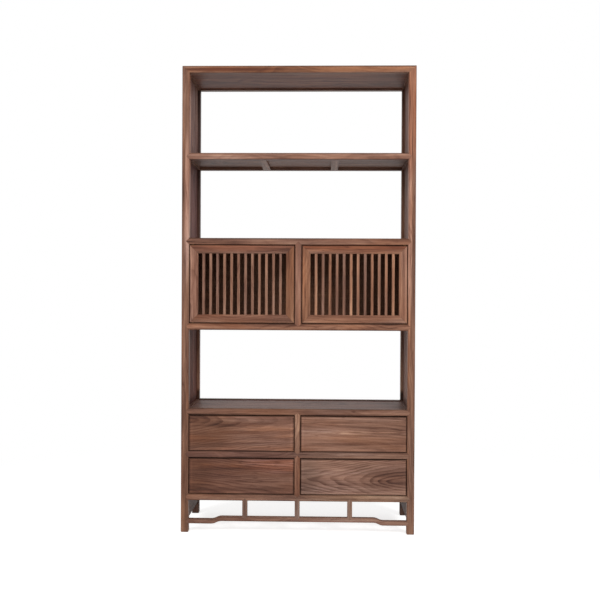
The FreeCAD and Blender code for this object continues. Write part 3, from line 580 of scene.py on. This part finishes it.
# Shelves and backs: tone
BOARDS = {
    "top_panel": (1.00, 0.79, 0.74),
    "upper_shelf_panel": (1.0, 0.93, 0.88),
    "case_top_panel": 0.92,
    "case_bottom_panel": 0.92,
    "drawer_top_panel": (0.70, 0.69, 0.78),
    "bottom_panel": 0.95,
    "case_back_panel": (0.96, 0.90, 0.80),
    "drawer_back_panels": 0.9,
}
for index, (name, tone) in enumerate(BOARDS.items()):
    low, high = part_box(name)
    pith = (low.y - 0.15, (low.z + high.z) / 2) if "back" in name else (0.02, low.z + 0.17)
    stain = INNER_STAIN if name in ("bottom_panel", "drawer_back_panels") else STAIN
    dress(wood("wood_" + name, "X", 41 + index, tone=tone, warm=0.3, pith=pith, ring=0.012,
               stain=stain, sheen=0.20, figure=0.8,
               contrast=0.30 if name == "case_back_panel" else 0.9), name)

# Pieces from front to back: tone, sheen, patches of painted shade on the inner faces
CROSS_PIECES = {
    "side_rails": (0.90, 0.22, [
        on_side(side * 0.47, 0.532, 0.03, 0.40, 0.03, (0.48, 0.42, 0.42)) for side in (-1, 1)]),
    "top_side_rails": (0.92, 0.22, []),
    "shelf_battens": ((1.12, 1.20, 1.28), 0.22, []),
    "top_battens": (1.0, 0.22, []),
    "side_aprons": (0.80, 0.06, [
        on_side(side * 0.468, 0.09, 0.012, 0.40, 0.30, (0.52, 0.46, 0.44)) for side in (-1, 1)]),
}
for index, (name, (tone, sheen, patches)) in enumerate(CROSS_PIECES.items()):
    dress(wood("wood_" + name, "Y", 61 + index, tone=tone, warm=0.4, figure=0.6, sheen=sheen,
               patches=patches), name)

# Runners and stops
for name, grain, seed in (("side_runners", "Y", 71), ("centre_runners", "Y", 72),
                          ("drawer_stops", "X", 75)):
    dress(wood("wood_" + name, grain, seed, stain=INNER_STAIN, figure=0.6, warm=0.3), name)

# Side panels: side, tone, sheen, patches of painted light and painted shade on the inner faces
SIDE_PANELS = {
    "left_side_panels": (-1, (0.90, 0.84, 0.84), 0.05, [
        on_side(-INNER_FACE, 1.06, 0.008, 0.60, 3.00, (0.84, 0.82, 1.08)),
        on_side(-INNER_FACE, 1.90, 0.008, 0.40, 0.38, (1.76, 2.24, 2.14)),
        on_side(-INNER_FACE, 0.60, 0.008, 0.40, 0.45, (0.96, 0.76, 0.60)),
        on_side(-INNER_FACE, 0.535, 0.008, 0.60, 0.034, (0.48, 0.42, 0.42))]),
    "right_side_panels": (1, (0.90, 0.84, 0.86), 0.08, [
        on_side(INNER_FACE, 1.06, 0.008, 0.60, 3.00, (1.16, 1.40, 1.66)),
        on_side(INNER_FACE, 1.90, 0.008, 0.40, 0.38, (0.88, 0.82, 0.80)),
        on_side(INNER_FACE, 0.60, 0.008, 0.40, 0.45, (1.08, 1.04, 1.00)),
        on_side(INNER_FACE, 0.535, 0.008, 0.60, 0.034, (0.48, 0.42, 0.42))]),
}
for index, (name, (side, tone, sheen, patches)) in enumerate(SIDE_PANELS.items()):
    dress(wood("wood_" + name, "Z", 81 + index, tone=tone, warm=0.25, pith=(side * 0.62, 0.03),
               ring=0.012, sheen=sheen, gloss=0.60, figure=0.7, patches=patches), name)

# Dividers and struts: tone, and the rails below and above
UPRIGHTS = {
    "door_divider": ((1.02, 0.95, 0.94), "case_bottom_front_rail", "case_top_front_rail"),
    "lower_drawer_divider": ((1.03, 0.90, 0.80), "bottom_front_rail", "drawer_middle_front_rail"),
    "upper_drawer_divider": ((0.90, 0.88, 0.86), "drawer_middle_front_rail",
                             "drawer_top_front_rail"),
    "stretcher_struts": ((1.10, 1.34, 1.54), None, None),
}
for index, (name, (tone, below, above)) in enumerate(UPRIGHTS.items()):
    low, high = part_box(name)
    edges = []
    if below:
        ends = (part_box(below)[1].z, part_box(above)[0].z)
        # Painted shade and a painted highlight line along the sides, and dark seams at the pointed
        # ends
        edges = box_edges(name, "X", FRAME_EDGE)
        edges += tip_seams("Z", ends, (low.x + high.x) / 2, (high.x - low.x) / 2)
    dress(wood("wood_" + name, "Z", 91 + index, tone=tone, warm=0.5, figure=0.5,
               pith=(0.06, -0.05), edges=edges), name)

# Doors: warm for the bars, patches of painted light and painted shade on the stiles, and on the
# rails
BAR_WIDE = 0.0114
BARS = 12
DOORS = {
    "left": (0.2, [
        on_front(-0.437, 1.10, 0.055, 0.60, (1.60, 1.68, 1.76), 0.05),
        on_front(-0.030, 1.10, 0.055, 0.60, (0.68, 0.57, 0.46), 0.05)], [
        on_front(-0.234, 1.245, 0.60, 0.055, (1.02, 0.76, 0.63), 0.05),
        on_front(-0.234, 0.950, 0.60, 0.055, (0.76, 0.63, 0.58), 0.05)]),
    "right": (0.6, [
        on_front(0.030, 1.10, 0.055, 0.60, (1.11, 0.98, 0.80), 0.05),
        on_front(0.437, 1.10, 0.055, 0.60, (1.28, 1.20, 1.10), 0.05)], [
        on_front(0.234, 1.245, 0.60, 0.055, (0.61, 0.37, 0.25), 0.05),
        on_front(0.234, 0.950, 0.60, 0.055, (0.94, 0.90, 0.90), 0.05)]),
}
# Two pieces with a middle between them: the cells are far wider than the door.
CELL = 10.0
for index, (side, (warm, stile_patches, rail_patches)) in enumerate(DOORS.items()):
    stiles = side + "_door_stiles"
    low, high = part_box(stiles)
    middle = (low + high) / 2
    # Painted shade and a painted highlight line along the frame's outer edges, and dark seams at
    # the mitres
    edges = box_edges(stiles, "XZ", FRAME_EDGE)
    mitres = [slanted((low.x, 0.0, high.z), (1, 1)), slanted((high.x, 0.0, low.z), (1, 1)),
              slanted((low.x, 0.0, low.z), (1, -1)), slanted((high.x, 0.0, high.z), (1, -1))]
    dress(wood("wood_%s_stiles" % side, "Z", 101 + index, tone=1.12, warm=0.5, figure=0.7,
               pieces=("X", middle.x - CELL, CELL), edges=edges + mitres,
               patches=stile_patches), stiles)
    dress(wood("wood_%s_door_rails" % side, "X", 111 + index, tone=1.0, warm=0.6, figure=0.7,
               pieces=("Z", middle.z - CELL, CELL), edges=edges, patches=rail_patches),
          side + "_door_rails")
    bars = side + "_door_bars"
    low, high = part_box(bars)
    pitch = (high.x - low.x - BAR_WIDE) / (BARS - 1)
    dress(wood("wood_%s_bars" % side, "Z", 121 + index, tone=1.12, warm=warm, figure=0.5,
               pieces=("X", low.x - (pitch - BAR_WIDE) / 2, pitch)), bars)

# Drawers: tone, pith, taper, warm, figure, contrast, patches of painted light and painted shade on
# the front
DRAWERS = {
    "upper_left_drawer": ((0.90, 0.85, 0.85), (-0.028, 0.482), 13.0, 0.6, 1.1, 0.96, [
        on_front(-0.43, 0.45, 0.22, 0.15, (0.80, 0.73, 0.64)),
        on_front(-0.06, 0.42, 0.16, 0.12, (1.12, 1.14, 1.16))]),
    "upper_right_drawer": ((1.04, 1.04, 1.04), (0.06, 0.350), 4.0, 0.5, 0.7, 0.88, [
        on_front(0.10, 0.42, 0.18, 0.10, (1.08, 1.08, 1.10))]),
    "lower_left_drawer": ((0.79, 0.69, 0.65), (-0.030, 0.158), 9.0, 0.9, 1.0, 1.02, [
        on_front(-0.40, 0.24, 0.24, 0.12, (0.84, 0.78, 0.76)),
        on_front(-0.47, 0.26, 0.15, 0.16, (0.78, 0.72, 0.64)),
        on_front(-0.08, 0.30, 0.20, 0.055, (1.48, 1.58, 1.90))]),
    "lower_right_drawer": ((1.04, 1.13, 1.23), (-0.026, 0.232), -13.0, 0.3, 1.2, 0.88, [
        on_front(0.00, 0.26, 0.13, 0.16, (0.80, 0.82, 0.84)),
        on_front(0.18, 0.23, 0.16, 0.10, (1.14, 1.16, 1.20)),
        on_front(0.44, 0.26, 0.16, 0.10, (0.90, 0.84, 0.82))]),
}
DRAWER_WALL = 0.012
FACE_CLEAR = 0.0005
for index, (name, looks) in enumerate(DRAWERS.items()):
    tone, pith, taper, warm, figure, contrast, patches = looks
    front = name + "_front"
    low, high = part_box(front)
    # Painted shadow in the gaps around the front, with a painted highlight line inside it
    edges = box_edges(front, "X", LEFT_FRONT_END if high.x < 0 else RIGHT_FRONT_END)
    edges += box_edges(front, "Z", FRONT_EDGE)
    dress(wood("wood_" + front, "X", 131 + index, tone=tone, warm=warm, figure=figure,
               contrast=contrast, pith=(low.y + pith[0], pith[1]), ring=0.0095, taper=taper,
               wander=0.05, edges=edges, patches=patches), front)
    # The box's sides run from front to back, and its back board runs across.
    box = name + "_box"
    low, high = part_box(box)
    back = ("X", high.y - DRAWER_WALL - FACE_CLEAR, (low.x + high.x) / 2,
            (high.x - low.x) / 2 - DRAWER_WALL)
    dress(wood("wood_" + box, "Y", 141 + index, stain=INNER_STAIN, figure=0.6, warm=0.3,
               turned=back), box)
    bottom = name + "_bottom"
    dress(wood("wood_" + bottom, "X", 151 + index, stain=INNER_STAIN, figure=0.9, warm=0.3,
               tone=1.03), bottom)

# Fittings
dress(brass(), "left_door_pivot_pins", "right_door_pivot_pins", "pivot_bushes")
dress(steel(), "left_door_strike", "right_door_strike")
dress(plastic(), "door_catches")


# ---------- floor and background ----------
FLOOR_HALF = 12.0
FLOOR_LIFT = 0.74
FLOOR_PALE = [(0.3, (0.80, 0.80, 0.80)), (0.7, (0.84, 0.84, 0.84))]
WHITE_FROM, WHITE_BY = 0.9, 2.2
WORLD_LIGHT = 0.30


def floor_material():
    """Pale floor that keeps the object's shadow and turns pure white away from it."""
    t = material_tree("pale_floor")
    place = t.place()
    seen = t.seen()
    diffuse = t.node("ShaderNodeBsdfDiffuse")
    t.link(t.ramp(t.noise(place, 3.0, 3.0), FLOOR_PALE), diffuse.inputs["Color"])
    near = t.node("ShaderNodeAddShader")
    t.link(diffuse.outputs[0], near.inputs[0])
    t.link(t.emission(t.times(seen, FLOOR_LIFT)), near.inputs[1])
    far = t.remap(t.vector("LENGTH", place), WHITE_FROM, WHITE_BY)
    both = t.node("ShaderNodeMixShader")
    t.link(t.times(far, seen), both.inputs["Fac"])
    t.link(near.outputs[0], both.inputs[1])
    t.link(t.emission(1.0), both.inputs[2])
    return t.finish(both.outputs[0])


corners = [(x * FLOOR_HALF, y * FLOOR_HALF, 0) for x, y in ((-1, -1), (1, -1), (1, 1), (-1, 1))]
mesh = bpy.data.meshes.new("floor")
mesh.from_pydata(corners, [], [(0, 1, 2, 3)])
mesh.materials.append(floor_material())
floor = bpy.data.objects.new("floor", mesh)
bpy.context.scene.collection.objects.link(floor)


def studio():
    """A world that lights softly, and is white where the camera or the gloss sees it."""
    t = Tree(bpy.data.worlds.new("studio"))
    background = t.node("ShaderNodeBackground")
    background.inputs["Color"].default_value = WHITE
    strength = t.remap(t.seen(), 0.0, 1.0, WORLD_LIGHT, 1.0, kind="LINEAR")
    t.link(strength, background.inputs["Strength"])
    return t.finish(background.outputs[0], "ShaderNodeOutputWorld")


bpy.context.scene.world = studio()


# ---------- lamps ----------
def soft_lamp(name, place, target, size, watts):
    data = bpy.data.lights.new(name, "AREA")
    data.shape = "RECTANGLE"
    data.size, data.size_y = size
    data.energy = watts
    lamp = bpy.data.objects.new(name, data)
    lamp.location = place
    lamp.rotation_euler = (Vector(target) - Vector(place)).to_track_quat("-Z", "Y").to_euler()
    bpy.context.scene.collection.objects.link(lamp)


LAMP_SIZE = (1.8, 2.2)
LAMP_TARGET = (0.0, 0.0, 1.2)
soft_lamp("right_box", (2.4, -3.4, 2.9), LAMP_TARGET, LAMP_SIZE, 105)
soft_lamp("left_box", (-2.6, -3.2, 2.9), LAMP_TARGET, LAMP_SIZE, 70)


# ---------- camera ----------
# Fitted to the photo: the focus in pixels, the place and the three angles in degrees
FOCUS_PX = 856.62
PICTURE_PX = 600.0
SENSOR = 36.0
CAMERA_PLACE = (0.10461, -3.83378, 1.02887)
YAW, PITCH, ROLL = (math.radians(angle) for angle in (1.5082, -0.4514, 0.2749))
level_forward = Vector((-math.sin(YAW), math.cos(YAW), 0.0))
forward = level_forward * math.cos(PITCH) + Vector((0.0, 0.0, math.sin(PITCH)))
right = Vector((math.cos(YAW), math.sin(YAW), 0.0))
up = right.cross(forward)
rolled_right = right * math.cos(ROLL) + up * math.sin(ROLL)
rolled_up = up * math.cos(ROLL) - right * math.sin(ROLL)
camera_data = bpy.data.cameras.new("camera")
camera_data.sensor_width = SENSOR
camera_data.lens = FOCUS_PX / PICTURE_PX * SENSOR
camera = bpy.data.objects.new("camera", camera_data)
turn = Matrix((rolled_right, rolled_up, -forward)).transposed()
camera.matrix_world = Matrix.Translation(CAMERA_PLACE) @ turn.to_4x4()
bpy.context.scene.collection.objects.link(camera)
bpy.context.scene.camera = camera
bpy.context.scene.view_settings.view_transform = "Standard"
